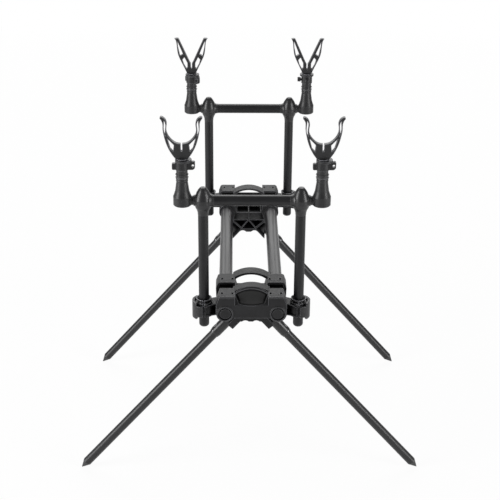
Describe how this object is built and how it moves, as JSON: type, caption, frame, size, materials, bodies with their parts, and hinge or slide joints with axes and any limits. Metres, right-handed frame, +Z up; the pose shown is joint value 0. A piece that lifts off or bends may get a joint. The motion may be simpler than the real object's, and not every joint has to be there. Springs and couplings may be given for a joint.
{
  "type": "fishing rod pod",
  "caption": "Folding rod pod: twin spine tubes, moulded leg blocks with carrying arches, splayed spiked legs, sliding posts with crossbars, turning butt grips and V rests.",
  "frame": {"origin": "on the ground under the middle of the bounding box; the middle of the spine is 8.5 mm further along +Y", "axes": "+X to the right seen from the near end (the end with the badge panel and butt grips), +Y along the spine from the near to the far end, +Z up"},
  "size_m": [0.5812, 0.513, 0.6506],
  "materials": {
    "moulded_plastic": "matte moulded black, faint grain",
    "fitting_plastic": "satin moulded black",
    "rest_plastic": "matte moulded black",
    "tube_paint": "satin black paint on aluminium tube",
    "spine_paint": "satin dark grey paint on aluminium tube",
    "badge_gloss": "low gloss black panel, bare",
    "steel": "plain bright steel",
    "spike_black": "black turned spike"
  },
  "bodies": {
    "root": {"badge_plate": "badge_gloss", "block_screws": "steel", "clamp_bushes": "moulded_plastic", "end_block": "moulded_plastic", "far_clamp_bridge": "moulded_plastic", "far_leg_block": "moulded_plastic", "lever_and_leg_pins": "steel", "near_clamp_bridge": "moulded_plastic", "near_leg_block": "moulded_plastic", "spine_end_caps": "moulded_plastic", "spine_tube_left": "spine_paint", "spine_tube_right": "spine_paint"},
    "near_post": {"near_crossbar": "tube_paint", "near_foot_caps": "fitting_plastic", "near_left_bell_end": "fitting_plastic", "near_left_tee": "fitting_plastic", "near_left_upright": "tube_paint", "near_right_bell_end": "fitting_plastic", "near_right_tee": "fitting_plastic", "near_right_upright": "tube_paint"},
    "far_post": {"far_crossbar": "tube_paint", "far_foot_caps": "fitting_plastic", "far_left_bell_end": "fitting_plastic", "far_left_tee": "fitting_plastic", "far_left_upright": "tube_paint", "far_right_bell_end": "fitting_plastic", "far_right_tee": "fitting_plastic", "far_right_upright": "tube_paint"},
    "near_left_lever": {"near_left_clamp_lever": "moulded_plastic"},
    "near_left_leg": {"near_left_leg_knuckle": "moulded_plastic", "near_left_leg_tube": "tube_paint", "near_left_leg_spike": "spike_black"},
    "near_left_button": {"near_left_snap_button": "steel"},
    "near_left_collar_turning": {"near_left_collar": "fitting_plastic"},
    "near_left_knob_turning": {"near_left_knob": "fitting_plastic"},
    "near_left_rest": {"near_left_butt_grip": "rest_plastic"},
    "near_right_lever": {"near_right_clamp_lever": "moulded_plastic"},
    "near_right_leg": {"near_right_leg_knuckle": "moulded_plastic", "near_right_leg_tube": "tube_paint", "near_right_leg_spike": "spike_black"},
    "near_right_button": {"near_right_snap_button": "steel"},
    "near_right_collar_turning": {"near_right_collar": "fitting_plastic"},
    "near_right_knob_turning": {"near_right_knob": "fitting_plastic"},
    "near_right_rest": {"near_right_butt_grip": "rest_plastic"},
    "far_left_lever": {"far_left_clamp_lever": "moulded_plastic"},
    "far_left_leg": {"far_left_leg_knuckle": "moulded_plastic", "far_left_leg_tube": "tube_paint", "far_left_leg_spike": "spike_black"},
    "far_left_button": {"far_left_snap_button": "steel"},
    "far_left_collar_turning": {"far_left_collar": "fitting_plastic"},
    "far_left_knob_turning": {"far_left_knob": "fitting_plastic"},
    "far_left_rest": {"far_left_rod_rest": "rest_plastic"},
    "far_right_lever": {"far_right_clamp_lever": "moulded_plastic"},
    "far_right_leg": {"far_right_leg_knuckle": "moulded_plastic", "far_right_leg_tube": "tube_paint", "far_right_leg_spike": "spike_black"},
    "far_right_button": {"far_right_snap_button": "steel"},
    "far_right_collar_turning": {"far_right_collar": "fitting_plastic"},
    "far_right_knob_turning": {"far_right_knob": "fitting_plastic"},
    "far_right_rest": {"far_right_rod_rest": "rest_plastic"}
  },
  "joints": [
    {"name": "near_post_slide", "type": "slide", "parent": "root", "child": "near_post", "axis": [0, 0, 1], "range_m": [-0.125, 0.015]},
    {"name": "far_post_slide", "type": "slide", "parent": "root", "child": "far_post", "axis": [0, 0, 1], "range_m": [-0.125, 0.015]},
    {"name": "near_left_lever_hinge", "type": "hinge", "parent": "root", "child": "near_left_lever", "pos_m": [-0.08608, -0.20532, 0.332], "axis": [0, 0, -1], "range_deg": [0, 100]},
    {"name": "near_left_leg_fold", "type": "hinge", "parent": "root", "child": "near_left_leg", "pos_m": [-0.0306, -0.1755, 0.296], "axis": [0.7502, -0.0576, -0.6587], "range_deg": [0, 91]},
    {"name": "near_left_button_press", "type": "slide", "parent": "near_left_leg", "child": "near_left_button", "axis": [0.5125, 0.7314, -0.45], "range_m": [0, 0.0015], "stiffness_N_per_m": 400, "springref_m": -0.002},
    {"name": "near_left_rest_turn", "type": "hinge", "parent": "near_post", "child": "near_left_rest", "pos_m": [-0.1065, -0.2195, 0.5835], "axis": [0, 0, 1], "continuous": true},
    {"name": "near_left_collar_turn", "type": "hinge", "parent": "near_post", "child": "near_left_collar_turning", "pos_m": [-0.1065, -0.2195, 0.5735], "axis": [0, 0, 1], "continuous": true},
    {"name": "near_left_knob_turn", "type": "hinge", "parent": "near_left_collar_turning", "child": "near_left_knob_turning", "pos_m": [-0.1065, -0.2195, 0.5735], "axis": [0, 1, 0], "continuous": true},
    {"name": "near_right_lever_hinge", "type": "hinge", "parent": "root", "child": "near_right_lever", "pos_m": [0.08608, -0.20532, 0.332], "axis": [0, 0, 1], "range_deg": [0, 100]},
    {"name": "near_right_leg_fold", "type": "hinge", "parent": "root", "child": "near_right_leg", "pos_m": [0.0306, -0.1755, 0.296], "axis": [0.7502, 0.0576, 0.6587], "range_deg": [0, 91]},
    {"name": "near_right_button_press", "type": "slide", "parent": "near_right_leg", "child": "near_right_button", "axis": [-0.5125, 0.7314, -0.45], "range_m": [0, 0.0015], "stiffness_N_per_m": 400, "springref_m": -0.002},
    {"name": "near_right_rest_turn", "type": "hinge", "parent": "near_post", "child": "near_right_rest", "pos_m": [0.1065, -0.2195, 0.5835], "axis": [0, 0, 1], "continuous": true},
    {"name": "near_right_collar_turn", "type": "hinge", "parent": "near_post", "child": "near_right_collar_turning", "pos_m": [0.1065, -0.2195, 0.5735], "axis": [0, 0, 1], "continuous": true},
    {"name": "near_right_knob_turn", "type": "hinge", "parent": "near_right_collar_turning", "child": "near_right_knob_turning", "pos_m": [0.1065, -0.2195, 0.5735], "axis": [0, 1, 0], "continuous": true},
    {"name": "far_left_lever_hinge", "type": "hinge", "parent": "root", "child": "far_left_lever", "pos_m": [-0.08608, 0.22232, 0.332], "axis": [0, 0, 1], "range_deg": [0, 100]},
    {"name": "far_left_leg_fold", "type": "hinge", "parent": "root", "child": "far_left_leg", "pos_m": [-0.0306, 0.1925, 0.296], "axis": [-0.7502, -0.0576, 0.6587], "range_deg": [0, 84]},
    {"name": "far_left_button_press", "type": "slide", "parent": "far_left_leg", "child": "far_left_button", "axis": [0.5125, 0.7314, -0.45], "range_m": [0, 0.0015], "stiffness_N_per_m": 400, "springref_m": -0.002},
    {"name": "far_left_rest_turn", "type": "hinge", "parent": "far_post", "child": "far_left_rest", "pos_m": [-0.1065, 0.2365, 0.5835], "axis": [0, 0, 1], "continuous": true},
    {"name": "far_left_collar_turn", "type": "hinge", "parent": "far_post", "child": "far_left_collar_turning", "pos_m": [-0.1065, 0.2365, 0.5735], "axis": [0, 0, 1], "continuous": true},
    {"name": "far_left_knob_turn", "type": "hinge", "parent": "far_left_collar_turning", "child": "far_left_knob_turning", "pos_m": [-0.1065, 0.2365, 0.5735], "axis": [0.7431, 0.6691, 0], "continuous": true},
    {"name": "far_right_lever_hinge", "type": "hinge", "parent": "root", "child": "far_right_lever", "pos_m": [0.08608, 0.22232, 0.332], "axis": [0, 0, -1], "range_deg": [0, 100]},
    {"name": "far_right_leg_fold", "type": "hinge", "parent": "root", "child": "far_right_leg", "pos_m": [0.0306, 0.1925, 0.296], "axis": [-0.7502, 0.0576, -0.6587], "range_deg": [0, 84]},
    {"name": "far_right_button_press", "type": "slide", "parent": "far_right_leg", "child": "far_right_button", "axis": [-0.5125, 0.7314, -0.45], "range_m": [0, 0.0015], "stiffness_N_per_m": 400, "springref_m": -0.002},
    {"name": "far_right_rest_turn", "type": "hinge", "parent": "far_post", "child": "far_right_rest", "pos_m": [0.1065, 0.2365, 0.5835], "axis": [0, 0, 1], "continuous": true},
    {"name": "far_right_collar_turn", "type": "hinge", "parent": "far_post", "child": "far_right_collar_turning", "pos_m": [0.1065, 0.2365, 0.5735], "axis": [0, 0, 1], "continuous": true},
    {"name": "far_right_knob_turn", "type": "hinge", "parent": "far_right_collar_turning", "child": "far_right_knob_turning", "pos_m": [0.1065, 0.2365, 0.5735], "axis": [-1, 0, 0], "continuous": true}
  ]
}
